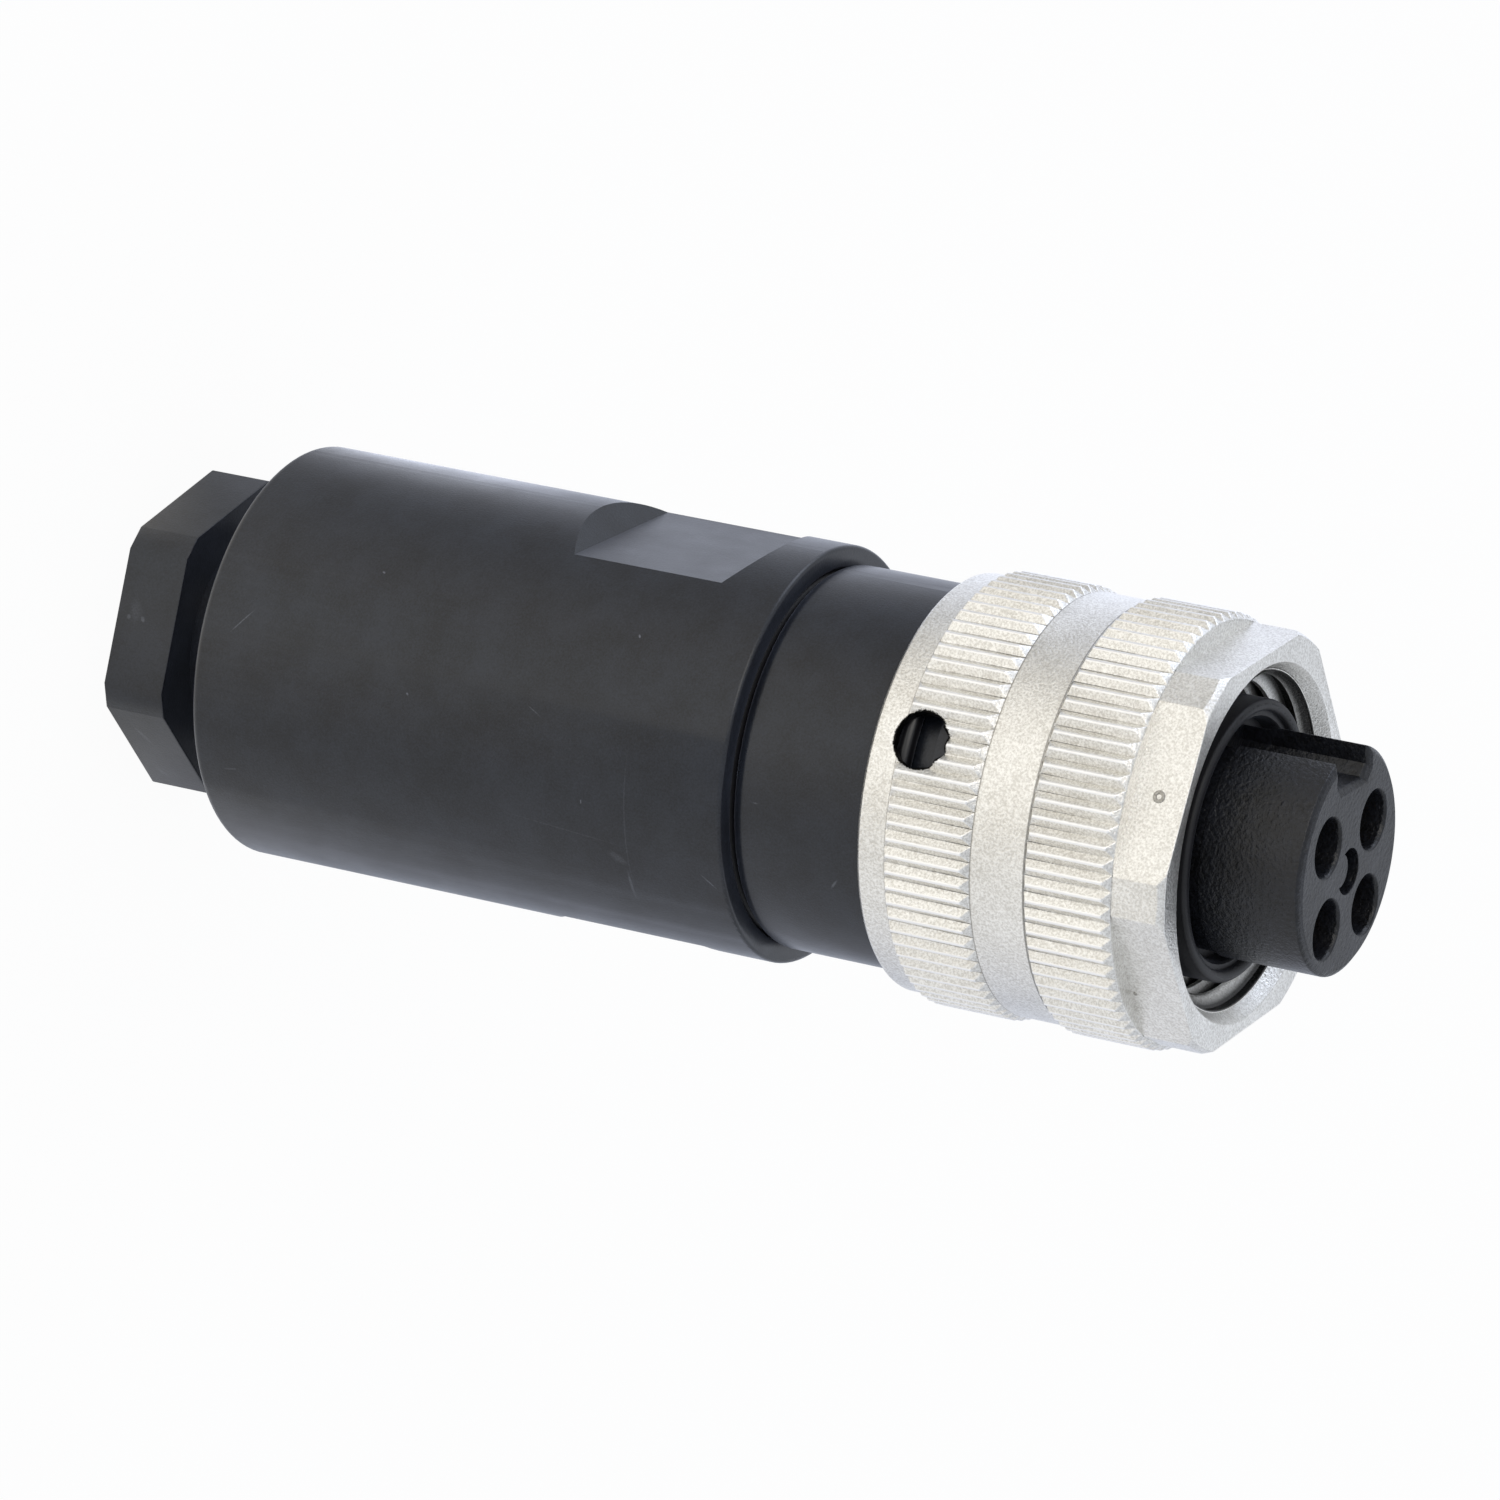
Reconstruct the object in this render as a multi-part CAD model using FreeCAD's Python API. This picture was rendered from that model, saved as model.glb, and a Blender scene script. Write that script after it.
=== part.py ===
import FreeCAD, Part
import math
import os

# Inline socket connector with a screw coupling nut, standing on its cable gland.
# Z runs along the connector's axis, from the gland's rear face to the insert's front face.
# All sizes are in millimetres and all angles in degrees.

# Lengths along the axis
gland_hex_length = 4.56
gland_gap = 4.2
bare_sleeve_length = 9.8
insert_proud = 6.55

# Gland nut
gland_flats = 19.6
gland_corners = 21.6
gland_turn = 1.2
gland_thread_d = 16.0
gland_neck_engaged = 6.3
gland_neck_chamfer = 0.5
cable_bore_d = 11.0
cable_mouth_chamfer = 0.8
gland_travel = 3.0

# Thrust washer, clamping cage and cable seal
washer_thickness = 1.0
washer_bore_d = 11.6
cage_base_length = 2.0
cage_finger_length = 6.0
cage_wall = 1.3
cage_lip = 1.0
cage_lip_thickness = 0.8
cage_taper_length = 2.0
cage_taper_drop = 0.8
cage_slots = 10
cage_slot_width = 0.9
seal_bore_d = 9.0
seal_edge = 0.4

# Grip shell
shell_d = 28.0
shell_rear_round = 0.6
shell_front_round = 0.3
shell_seat_wall = 2.0
shell_wire_bore_d = 10.4
shell_cavity_wall = 3.6
wiring_length = 5.4
shell_flat_depth = 1.55
shell_flat_length = 10.95
shell_flat_from_front = 4.65
shell_flat_turn = 109.0
shell_flat_ramp = 45.0
shell_thread_runout = 0.6

# Threaded sleeve that carries the insert
sleeve_inset = 1.15
sleeve_base_round = 1.0
sleeve_thread_step = 1.9
sleeve_thread_length = 7.3
sleeve_thread_wall = 1.35
sleeve_inside_nut = 9.2
sleeve_seat_wall = 1.55
sleeve_seat_depth = 4.3
ring_groove_start = 1.4
ring_groove_width = 2.6
ring_groove_depth = 0.85
o_ring_section_d = 1.5

# Coupling nut
nut_ring_wall = 0.95
nut_ring_length = 2.1
nut_ring_chamfer = 0.25
knurl_root_rise = 0.1
knurl_height = 0.4
knurl_teeth = 80
knurl_crest_share = 0.12
knurl_valley_share = 0.06
knurl_front_bevel = 0.55
knurl_rear_bevel = 0.25
knurl_length = 6.1
groove_rise = 0.05
groove_length = 3.9
hexagon_length = 3.6
hexagon_sides = 6
nut_flat_drop = 1.2
nut_turn = -8.5
nut_crown_width = 0.25
nut_crown_length = 0.4
nut_thread_wall = 2.79
nut_mouth_flare = 0.74
nut_mouth_step = 0.14
nut_mouth_depth = 0.9
nut_shoulder_gap = 0.3
nut_hole_d = 3.7
nut_hole_from_rear = 3.5
nut_hole_turn = -9.1
retaining_ring_section_d = 1.16

# Contact insert
plug_d = 15.1
plug_chamfer = 0.45
plug_chamfer_length = 0.3
key_turn = -70.0
key_width = 4.7
key_floor = 5.25
key_corner = 0.7
key_chamfer = 0.4
plug_root_recess = 0.2
root_groove_gap = 0.4
root_groove_depth = 1.8
collar_width = 1.45
collar_front_behind_nut = 4.9
flange_thickness = 2.0
socket_circle_d = 8.6
socket_offset = 0.62
near_socket_turn = 54.0
far_socket_turn = 44.0
socket_hole_d = 3.8
socket_hole_chamfer = 0.18
socket_hole_chamfer_length = 0.3
moon_d = 3.04
moon_boss_d = 2.3
moon_boss_offset = 1.36
moon_boss_turn = 75.0
moon_depth = 3.0
insert_tail = 4.4

# Front seal around the insert's root
front_seal_overhang = 0.3
front_seal_lip_width = 0.8
front_seal_lip_round = 0.36
front_seal_step = 0.55
front_seal_inner_step = 0.35
front_seal_behind_nut = 0.6

# Locking ring that holds the insert in the sleeve
lock_ring_thickness = 1.8
lock_notch_width = 1.6
lock_notch_depth = 1.0

# Contacts, terminal block and terminal screws
tube_d = 3.5
tube_bore_d = 2.1
tube_bore_depth = 9.0
tube_slot_width = 0.35
tube_slot_depth = 7.0
tube_recess = 2.6
barrel_d = 4.6
barrel_wire_d = 2.8
barrel_wire_depth = 8.5
barrel_seat_depth = 1.6
block_tail = 5.2
barrel_behind_block_face = 1.0
block_rear_chamfer = 0.4
screw_from_block_rear = 3.0
screw_d = 2.5
screw_head_d = 3.5
screw_head_height = 1.1
screw_length = 3.7
screw_tip_from_contact = 0.9
screw_slot_width = 0.5
screw_slot_depth = 0.5

# Clearances
fit_gap = 0.05
seat_gap = 0.3
hole_gap = 0.1

# Diameters that follow one another from the grip shell inwards and outwards
shell_flat_distance = shell_d / 2 - shell_flat_depth
shell_cavity_d = shell_d - 2 * shell_cavity_wall
sleeve_d = shell_d - 2 * sleeve_inset
sleeve_thread_d = sleeve_d - 2 * sleeve_thread_step
sleeve_bore_d = sleeve_thread_d - 2 * sleeve_thread_wall
sleeve_seat_d = sleeve_d - 2 * sleeve_seat_wall
ring_groove_d = sleeve_d - 2 * ring_groove_depth
flange_d = sleeve_seat_d - 2 * hole_gap
collar_d = plug_d + 2 * collar_width
root_groove_d = plug_d + 2 * root_groove_gap
front_seal_d = collar_d + 2 * front_seal_overhang
nut_bore_r = sleeve_d / 2 + hole_gap
nut_ring_d = 2 * (nut_bore_r + nut_ring_wall)
knurl_root_d = nut_ring_d + 2 * knurl_root_rise
knurl_tip_d = knurl_root_d + 2 * knurl_height
groove_d = knurl_root_d + 2 * groove_rise
nut_corners = nut_ring_d
nut_flats = nut_corners - 2 * nut_flat_drop
nut_thread_d = nut_corners - 2 * nut_thread_wall
nut_mouth_d = nut_thread_d + 2 * nut_mouth_flare
nut_mouth_inner_d = nut_thread_d + 2 * nut_mouth_step
coupling_length = nut_ring_length + 2 * knurl_length + groove_length + hexagon_length

# Stations along the axis, worked out from the lengths above
shell_rear = gland_hex_length + gland_gap
neck_end = shell_rear + gland_neck_engaged
washer_front = neck_end + fit_gap + washer_thickness
cage_rear = washer_front + gland_travel + seat_gap
cage_front = cage_rear + cage_base_length + cage_finger_length
cavity_start = cage_front + shell_seat_wall

block_rear = cavity_start + wiring_length
sleeve_rear = block_rear + block_tail
mouth_floor = sleeve_rear + sleeve_thread_length
sleeve_shoulder = mouth_floor + o_ring_section_d
shell_front = sleeve_shoulder - fit_gap
nut_rear = shell_front + bare_sleeve_length
nut_front = nut_rear + coupling_length
insert_front = nut_front + insert_proud

sleeve_front = nut_rear + sleeve_inside_nut
insert_seat = sleeve_front - sleeve_seat_depth
flange_front = insert_seat + flange_thickness
lock_ring_front = flange_front + lock_ring_thickness
insert_rear = insert_seat - insert_tail
screw_station = block_rear + screw_from_block_rear
barrel_rear = block_rear + barrel_behind_block_face
barrel_front = insert_rear + barrel_seat_depth
tube_front = insert_front - tube_recess

ring_groove_rear = nut_rear + ring_groove_start
ring_station = ring_groove_rear + fit_gap + retaining_ring_section_d / 2
ring_r = ring_groove_d / 2 + hole_gap + retaining_ring_section_d / 2
nut_shoulder = sleeve_front + nut_shoulder_gap
collar_front = nut_front - collar_front_behind_nut
seal_front = nut_front - front_seal_behind_nut
root_floor = seal_front - root_groove_depth

key_angle = math.radians(key_turn)


def at(radius, angle, z=0.0):
    """Point at a radius and an angle, counted from the side that faces -Y towards +X."""
    return FreeCAD.Vector(radius * math.sin(angle), -radius * math.cos(angle), z)


def rounded_wire(corners, place):
    """Closed wire through corners (a, b) or (a, b, radius), each laid out in space by place."""
    spans = []
    for i, corner in enumerate(corners):
        here = FreeCAD.Vector(corner[0], corner[1], 0)
        if len(corner) < 3:
            spans.append((here, None, here))
            continue
        before = FreeCAD.Vector(corners[i - 1][0], corners[i - 1][1], 0) - here
        ahead = corners[(i + 1) % len(corners)]
        after = FreeCAD.Vector(ahead[0], ahead[1], 0) - here
        half = before.getAngle(after) / 2
        before.normalize()
        after.normalize()
        middle = before + after
        middle.normalize()
        reach = corner[2] / math.tan(half)
        depth = corner[2] / math.sin(half) - corner[2]
        spans.append((here + before * reach, here + middle * depth, here + after * reach))
    edges = []
    for i, (start, through, end) in enumerate(spans):
        if through is not None:
            edges.append(Part.Arc(place(start), place(through), place(end)).toShape())
        following = spans[(i + 1) % len(spans)][0]
        if (following - end).Length > 1e-6:
            edges.append(Part.makeLine(place(end), place(following)))
    return Part.Wire(edges)


def turned(corners):
    """Solid of revolution about Z from corners (radius, z) or (radius, z, rounding)."""
    wire = rounded_wire(corners, lambda v: FreeCAD.Vector(v.x, 0, v.y))
    return Part.Face(wire).revolve(FreeCAD.Vector(0, 0, 0), FreeCAD.Vector(0, 0, 1), 360)


def rod(radius, low, high):
    """Cylinder on the connector's axis."""
    return Part.makeCylinder(radius, high - low, FreeCAD.Vector(0, 0, low))


def pipe(outer, inner, low, high):
    """Plain ring on the connector's axis."""
    return turned([(inner, low), (outer, low), (outer, high), (inner, high)])


def drilled(centre, radius, low, high):
    """Cylinder along Z through a centre in the XY plane."""
    return Part.makeCylinder(radius, high - low, FreeCAD.Vector(centre.x, centre.y, low))


def half_step(sides):
    """Half the angle between two neighbouring sides of a regular prism."""
    return 180 / sides


def beyond(distance, angle, low, high, size, slope=0.0):
    """Block outside a plane at a distance from the axis, facing an angle, with ends that slope outwards."""
    spread = size * math.tan(math.radians(slope))
    corners = [(-distance, low), (-distance, high), (-distance - size, high + spread),
               (-distance - size, low - spread)]
    points = [FreeCAD.Vector(-size, y, z) for y, z in corners]
    face = Part.Face(Part.makePolygon(points + points[:1]))
    block = face.extrude(FreeCAD.Vector(2 * size, 0, 0))
    block.rotate(FreeCAD.Vector(0, 0, 0), FreeCAD.Vector(0, 0, 1), math.degrees(angle))
    return block


def hexagon(flats, turn, low, high):
    """Hexagonal prism with one flat facing the given angle."""
    half = half_step(hexagon_sides)
    corner = flats / 2 / math.cos(math.radians(half))
    points = [at(corner, math.radians(turn + half + 2 * half * k), low) for k in range(hexagon_sides)]
    face = Part.Face(Part.makePolygon(points + points[:1]))
    return face.extrude(FreeCAD.Vector(0, 0, high - low))


def pattern_centre():
    """Middle of the contact pattern, set off from the axis, away from the key."""
    return at(-socket_offset, key_angle)


def socket_centres():
    """Centres of the contacts: two near the key and two closer together on the far side."""
    turns = (near_socket_turn, 180 - far_socket_turn, 180 + far_socket_turn, -near_socket_turn)
    radius = socket_circle_d / 2
    return [pattern_centre() + at(radius, key_angle + math.radians(turn)) for turn in turns]


def gland_nut():
    grip = hexagon(gland_flats, gland_turn, 0, gland_hex_length)
    corner_turn = gland_turn + half_step(hexagon_sides)
    grip = grip.common(hexagon(gland_corners, corner_turn, 0, gland_hex_length))
    neck_r = gland_thread_d / 2
    neck = turned([(0, gland_hex_length - 1), (neck_r, gland_hex_length - 1),
                   (neck_r, neck_end - gland_neck_chamfer), (neck_r - gland_neck_chamfer, neck_end),
                   (0, neck_end)])
    bore_r = cable_bore_d / 2
    bore = turned([(0, -1), (bore_r + cable_mouth_chamfer, -1), (bore_r + cable_mouth_chamfer, 0),
                   (bore_r, cable_mouth_chamfer), (bore_r, neck_end + 1), (0, neck_end + 1)])
    return grip.fuse(neck).cut(bore).removeSplitter()


def thrust_washer():
    return pipe(gland_thread_d / 2 - hole_gap, washer_bore_d / 2, neck_end + fit_gap, washer_front)


def clamp_cage():
    outer = gland_thread_d / 2 - hole_gap
    inner = outer - cage_wall
    lip_r = inner - cage_lip
    lip_z = cage_rear + cage_lip_thickness
    ring = turned([(lip_r, cage_rear), (outer, cage_rear), (outer, cage_front - cage_taper_length),
                   (outer - cage_taper_drop, cage_front), (inner, cage_front), (inner, lip_z),
                   (lip_r, lip_z)])
    slot_start = cage_rear + cage_base_length
    for k in range(cage_slots):
        slot = Part.makeBox(cage_slot_width, outer + 1, cage_finger_length + 1,
                            FreeCAD.Vector(-cage_slot_width / 2, 0, slot_start))
        slot.rotate(FreeCAD.Vector(0, 0, 0), FreeCAD.Vector(0, 0, 1), 360 / cage_slots * k)
        ring = ring.cut(slot)
    return ring


def cable_seal():
    outer = gland_thread_d / 2 - hole_gap - cage_wall - hole_gap
    low = cage_rear + cage_lip_thickness
    bore = seal_bore_d / 2
    return turned([(bore + seal_edge, low), (outer, low), (outer, cage_front - seal_edge),
                   (outer - seal_edge, cage_front), (bore + seal_edge, cage_front),
                   (bore, cage_front - seal_edge), (bore, low + seal_edge)])


def grip_shell():
    outer = turned([(0, shell_rear), (shell_d / 2, shell_rear, shell_rear_round),
                    (shell_d / 2, shell_front, shell_front_round), (0, shell_front)])
    thread_r = gland_thread_d / 2 + fit_gap
    taper_start = cage_front - cage_taper_length
    seat_r = thread_r - cage_taper_drop
    cavity_r = shell_cavity_d / 2
    sleeve_r = sleeve_thread_d / 2 + fit_gap
    mouth_r = sleeve_thread_d / 2 + o_ring_section_d + hole_gap
    run_out = sleeve_rear - shell_thread_runout
    hollow = turned([(0, shell_rear - 1), (thread_r, shell_rear - 1), (thread_r, taper_start),
                     (seat_r, cage_front), (shell_wire_bore_d / 2, cage_front),
                     (shell_wire_bore_d / 2, cavity_start), (cavity_r, cavity_start), (cavity_r, run_out),
                     (sleeve_r, run_out), (sleeve_r, mouth_floor), (mouth_r, mouth_floor),
                     (mouth_r, shell_front + 1), (0, shell_front + 1)])
    shell = outer.cut(hollow)
    flat_high = shell_front - shell_flat_from_front
    for side in (0, 180):
        angle = math.radians(shell_flat_turn + side)
        flat_low = flat_high - shell_flat_length
        block = beyond(shell_flat_distance, angle, flat_low, flat_high, shell_d, shell_flat_ramp)
        shell = shell.cut(block)
    return shell


def sleeve_o_ring():
    radius = o_ring_section_d / 2
    return Part.makeTorus(sleeve_thread_d / 2 + radius, radius, FreeCAD.Vector(0, 0, mouth_floor + radius))


def contact_sleeve():
    body_r = sleeve_d / 2
    thread_r = sleeve_thread_d / 2
    bore_r = sleeve_bore_d / 2
    seat_r = sleeve_seat_d / 2
    groove_high = ring_groove_rear + ring_groove_width
    return turned([(bore_r, sleeve_rear), (thread_r, sleeve_rear), (thread_r, sleeve_shoulder),
                   (body_r, sleeve_shoulder, sleeve_base_round), (body_r, ring_groove_rear),
                   (ring_groove_d / 2, ring_groove_rear), (ring_groove_d / 2, groove_high),
                   (body_r, groove_high), (body_r, sleeve_front), (seat_r, sleeve_front),
                   (seat_r, insert_seat), (bore_r, insert_seat)])


def retaining_ring():
    return Part.makeTorus(ring_r, retaining_ring_section_d / 2, FreeCAD.Vector(0, 0, ring_station))


def knurled_band(low):
    """Ring of straight, sharp teeth, with a long bevel on their front ends and a short one behind."""
    high = low + knurl_length
    pitch = 2 * math.pi / knurl_teeth
    tip = knurl_tip_d / 2
    root = knurl_root_d / 2
    crest = pitch * knurl_crest_share / 2
    valley = pitch * (1 - knurl_valley_share) / 2
    points = []
    for k in range(knurl_teeth):
        middle = k * pitch
        points += [at(root, middle - valley, low), at(tip, middle - crest, low),
                   at(tip, middle + crest, low), at(root, middle + valley, low)]
    points.append(points[0])
    band = Part.Face(Part.makePolygon(points)).extrude(FreeCAD.Vector(0, 0, high - low))
    envelope = turned([(0, low), (root, low), (tip, low + knurl_rear_bevel),
                       (tip, high - knurl_front_bevel), (root, high), (0, high)])
    return band.common(envelope)


def coupling_blank():
    """Outside of the coupling nut: ring, knurled band, groove, knurled band and hexagon."""
    ring_end = nut_rear + nut_ring_length
    groove_low = ring_end + knurl_length
    groove_high = groove_low + groove_length
    band_high = groove_high + knurl_length
    plain_r = nut_ring_d / 2
    blank = turned([(0, nut_rear), (plain_r - nut_ring_chamfer, nut_rear),
                    (plain_r, nut_rear + nut_ring_chamfer), (plain_r, ring_end), (0, ring_end)])
    blank = blank.fuse(knurled_band(ring_end))
    blank = blank.fuse(rod(groove_d / 2, groove_low, groove_high))
    blank = blank.fuse(knurled_band(groove_high))
    crown_r = nut_corners / 2 - nut_crown_width
    slope = nut_crown_length / nut_crown_width
    reach = knurl_tip_d / 2 + knurl_height
    crown = turned([(0, band_high), (reach, band_high), (reach, nut_front - slope * (reach - crown_r)),
                    (crown_r, nut_front), (0, nut_front)])
    half = half_step(hexagon_sides)
    crown = crown.common(hexagon(nut_flats, nut_turn, band_high, nut_front))
    crown = crown.common(hexagon(nut_corners, nut_turn + half, band_high, nut_front))
    return blank.fuse(crown)


def coupling_nut():
    thread_r = nut_thread_d / 2
    groove_r = ring_r + retaining_ring_section_d / 2 + fit_gap
    groove_low = ring_station - retaining_ring_section_d / 2 - fit_gap
    groove_high = ring_station + retaining_ring_section_d / 2 + fit_gap
    mouth_low = nut_front - nut_mouth_depth
    hollow = turned([(0, nut_rear - 1), (nut_bore_r, nut_rear - 1), (nut_bore_r, groove_low),
                     (groove_r, groove_low), (groove_r, groove_high), (nut_bore_r, groove_high),
                     (nut_bore_r, nut_shoulder), (thread_r, nut_shoulder), (thread_r, mouth_low),
                     (nut_mouth_inner_d / 2, mouth_low), (nut_mouth_d / 2, nut_front),
                     (nut_mouth_d / 2, nut_front + 1), (0, nut_front + 1)])
    nut = coupling_blank().cut(hollow)
    way = at(1, math.radians(nut_hole_turn))
    start = FreeCAD.Vector(0, 0, nut_rear + nut_hole_from_rear)
    return nut.cut(Part.makeCylinder(nut_hole_d / 2, knurl_tip_d, start, way))


def key_outline(spread, z):
    """Wire of the key slot's section, widened by a spread, with bevelled corners at its floor."""
    half = key_width / 2 + spread
    low = key_floor - spread
    reach = plug_d
    outline = [(-half, reach), (-half, low + key_corner), (-half + key_corner, low),
               (half - key_corner, low), (half, low + key_corner), (half, reach)]
    return Part.makePolygon([FreeCAD.Vector(a, -b, z) for a, b in outline + outline[:1]])


def key_slot():
    """Straight slot along the plug, chamfered where it meets the front face."""
    chamfer_low = insert_front - key_chamfer
    slot = Part.Face(key_outline(0, root_floor)).extrude(FreeCAD.Vector(0, 0, insert_front - root_floor + 1))
    wide = key_outline(2 * key_chamfer, insert_front + key_chamfer)
    mouth = Part.makeLoft([key_outline(0, chamfer_low), wide], True, True)
    slot = slot.fuse(mouth)
    slot.rotate(FreeCAD.Vector(0, 0, 0), FreeCAD.Vector(0, 0, 1), key_turn)
    return slot


def moon_slot():
    """Blind crescent in the middle of the contacts: a round recess that a round boss fills in part."""
    low = insert_front - moon_depth
    middle = pattern_centre()
    boss = middle + at(moon_boss_offset, key_angle + math.radians(moon_boss_turn))
    recess = drilled(middle, moon_d / 2, low, insert_front + 1)
    return recess.cut(drilled(boss, moon_boss_d / 2, low - 1, insert_front + 2))


def contact_insert():
    plug_r = plug_d / 2
    root_r = plug_r - plug_root_recess
    tail_r = sleeve_bore_d / 2 - hole_gap
    body = turned([(0, insert_rear), (tail_r, insert_rear), (tail_r, insert_seat),
                   (flange_d / 2, insert_seat), (flange_d / 2, flange_front), (collar_d / 2, flange_front),
                   (collar_d / 2, collar_front), (root_r, collar_front), (root_r, seal_front),
                   (plug_r, seal_front),
                   (plug_r, insert_front - plug_chamfer_length), (plug_r - plug_chamfer, insert_front),
                   (0, insert_front)])
    body = body.cut(key_slot()).cut(moon_slot())
    for centre in socket_centres():
        body = body.cut(drilled(centre, socket_hole_d / 2, insert_rear - 1, insert_front + 1))
        body = body.cut(drilled(centre, barrel_d / 2 + fit_gap, insert_rear - 1, barrel_front))
        rim = FreeCAD.Vector(centre.x, centre.y, insert_front - socket_hole_chamfer_length)
        body = body.cut(Part.makeCone(socket_hole_d / 2, socket_hole_d / 2 + socket_hole_chamfer,
                                      socket_hole_chamfer_length, rim))
    return body


def front_seal():
    outer = front_seal_d / 2
    inner = root_groove_d / 2
    lip_inner = outer - front_seal_lip_width
    step_r = lip_inner - front_seal_inner_step
    step_z = seal_front - front_seal_step
    root_r = plug_d / 2 - plug_root_recess
    return turned([(root_r, collar_front), (outer, collar_front), (outer, seal_front, front_seal_lip_round),
                   (lip_inner, seal_front, front_seal_lip_round), (lip_inner, step_z), (step_r, step_z),
                   (inner, step_z - front_seal_step / 2), (inner, root_floor), (root_r, root_floor)])


def insert_lock_ring():
    ring = pipe(sleeve_seat_d / 2 - fit_gap, collar_d / 2 + fit_gap, flange_front, lock_ring_front)
    reach = sleeve_seat_d
    notch = Part.makeBox(lock_notch_width, 2 * reach, lock_notch_depth + 1,
                         FreeCAD.Vector(-lock_notch_width / 2, -reach, lock_ring_front - lock_notch_depth))
    return ring.cut(notch)


def terminal_block():
    block_r = sleeve_bore_d / 2 - hole_gap
    block = turned([(0, block_rear), (block_r - block_rear_chamfer, block_rear),
                    (block_r, block_rear + block_rear_chamfer), (block_r, insert_rear), (0, insert_rear)])
    for centre in socket_centres():
        block = block.cut(drilled(centre, barrel_d / 2 + fit_gap, block_rear - 1, insert_rear + 1))
        way = FreeCAD.Vector(centre.x, centre.y, 0)
        start = FreeCAD.Vector(centre.x, centre.y, screw_station)
        block = block.cut(Part.makeCylinder(screw_head_d / 2 + hole_gap, sleeve_bore_d, start, way))
    return block


def socket_contact(centre):
    contact = drilled(centre, barrel_d / 2, barrel_rear, barrel_front)
    contact = contact.fuse(drilled(centre, tube_d / 2, barrel_front, tube_front))
    contact = contact.cut(drilled(centre, tube_bore_d / 2, tube_front - tube_bore_depth, tube_front + 1))
    wire_end = barrel_rear + barrel_wire_depth
    contact = contact.cut(drilled(centre, barrel_wire_d / 2, barrel_rear - 1, wire_end))
    slot = Part.makeBox(tube_slot_width, tube_d + 1, tube_slot_depth + 1,
                        FreeCAD.Vector(-tube_slot_width / 2, -(tube_d + 1) / 2, tube_front - tube_slot_depth))
    slot.translate(FreeCAD.Vector(centre.x, centre.y, 0))
    contact = contact.cut(slot)
    way = FreeCAD.Vector(centre.x, centre.y, 0)
    start = FreeCAD.Vector(centre.x, centre.y, screw_station)
    return contact.cut(Part.makeCylinder(screw_d / 2 + fit_gap, barrel_d, start, way))


def terminal_screw(centre):
    """Slotted screw that enters its contact from the side."""
    head_low = screw_length - screw_head_height
    screw = rod(screw_d / 2, 0, head_low)
    screw = screw.fuse(rod(screw_head_d / 2, head_low, screw_length))
    slot = Part.makeBox(screw_slot_width, screw_head_d + 1, screw_slot_depth + 1,
                        FreeCAD.Vector(-screw_slot_width / 2, -(screw_head_d + 1) / 2,
                                       screw_length - screw_slot_depth))
    screw = screw.cut(slot)
    way = FreeCAD.Vector(centre.x, centre.y, 0)
    way.normalize()
    tip = centre + way * screw_tip_from_contact
    tip.z = screw_station
    turn = FreeCAD.Rotation(FreeCAD.Vector(0, 0, 1), way)
    screw.Placement = FreeCAD.Placement(tip, turn)
    return screw


def build():
    """All nodes by name."""
    nodes = {
        "gland_nut": gland_nut(),
        "thrust_washer": thrust_washer(),
        "clamp_cage": clamp_cage(),
        "cable_seal": cable_seal(),
        "grip_shell": grip_shell(),
        "sleeve_o_ring": sleeve_o_ring(),
        "contact_sleeve": contact_sleeve(),
        "retaining_ring": retaining_ring(),
        "coupling_nut": coupling_nut(),
        "contact_insert": contact_insert(),
        "front_seal": front_seal(),
        "insert_lock_ring": insert_lock_ring(),
        "terminal_block": terminal_block(),
    }
    for number, centre in enumerate(socket_centres(), start=1):
        nodes["socket_contact_%d" % number] = socket_contact(centre)
        nodes["terminal_screw_%d" % number] = terminal_screw(centre)
    return nodes


os.makedirs("parts", exist_ok=True)
for name, shape in build().items():
    shape.exportStep("parts/" + name + ".step")
    state = "valid" if shape.isValid() else "NOT VALID"
    print(name, len(shape.Solids), "solid", state, round(shape.Volume, 1))
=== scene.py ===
"""Inline socket connector: finishes, softened edges, screw threads and studio."""
import logging
import math
from dataclasses import dataclass
from enum import Enum
from typing import Any

import bmesh
import bpy
from mathutils import Matrix, Vector, noise


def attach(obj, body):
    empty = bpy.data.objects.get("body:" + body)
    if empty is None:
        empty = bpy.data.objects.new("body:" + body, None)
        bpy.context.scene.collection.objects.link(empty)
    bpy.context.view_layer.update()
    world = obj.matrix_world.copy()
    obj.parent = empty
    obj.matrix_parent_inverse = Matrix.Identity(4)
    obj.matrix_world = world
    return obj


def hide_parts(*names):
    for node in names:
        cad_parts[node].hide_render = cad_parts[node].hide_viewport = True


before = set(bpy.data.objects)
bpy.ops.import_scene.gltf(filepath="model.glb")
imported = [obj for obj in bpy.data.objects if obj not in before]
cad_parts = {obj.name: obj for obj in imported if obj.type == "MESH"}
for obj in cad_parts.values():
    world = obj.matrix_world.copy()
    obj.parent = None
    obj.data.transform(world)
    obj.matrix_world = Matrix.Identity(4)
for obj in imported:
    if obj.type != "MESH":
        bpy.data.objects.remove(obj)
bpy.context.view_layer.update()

MM = 0.001
# Blender's noise keeps most of its values between these two.
NOISE_LOW, NOISE_HIGH = 0.3, 0.7
LOG = logging.getLogger("connector")


class Body(Enum):
    """Bodies of the connector that carry a new piece."""

    GLAND = "gland_nut"
    CONNECTOR = "connector_body"
    COUPLING = "coupling_nut"


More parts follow.
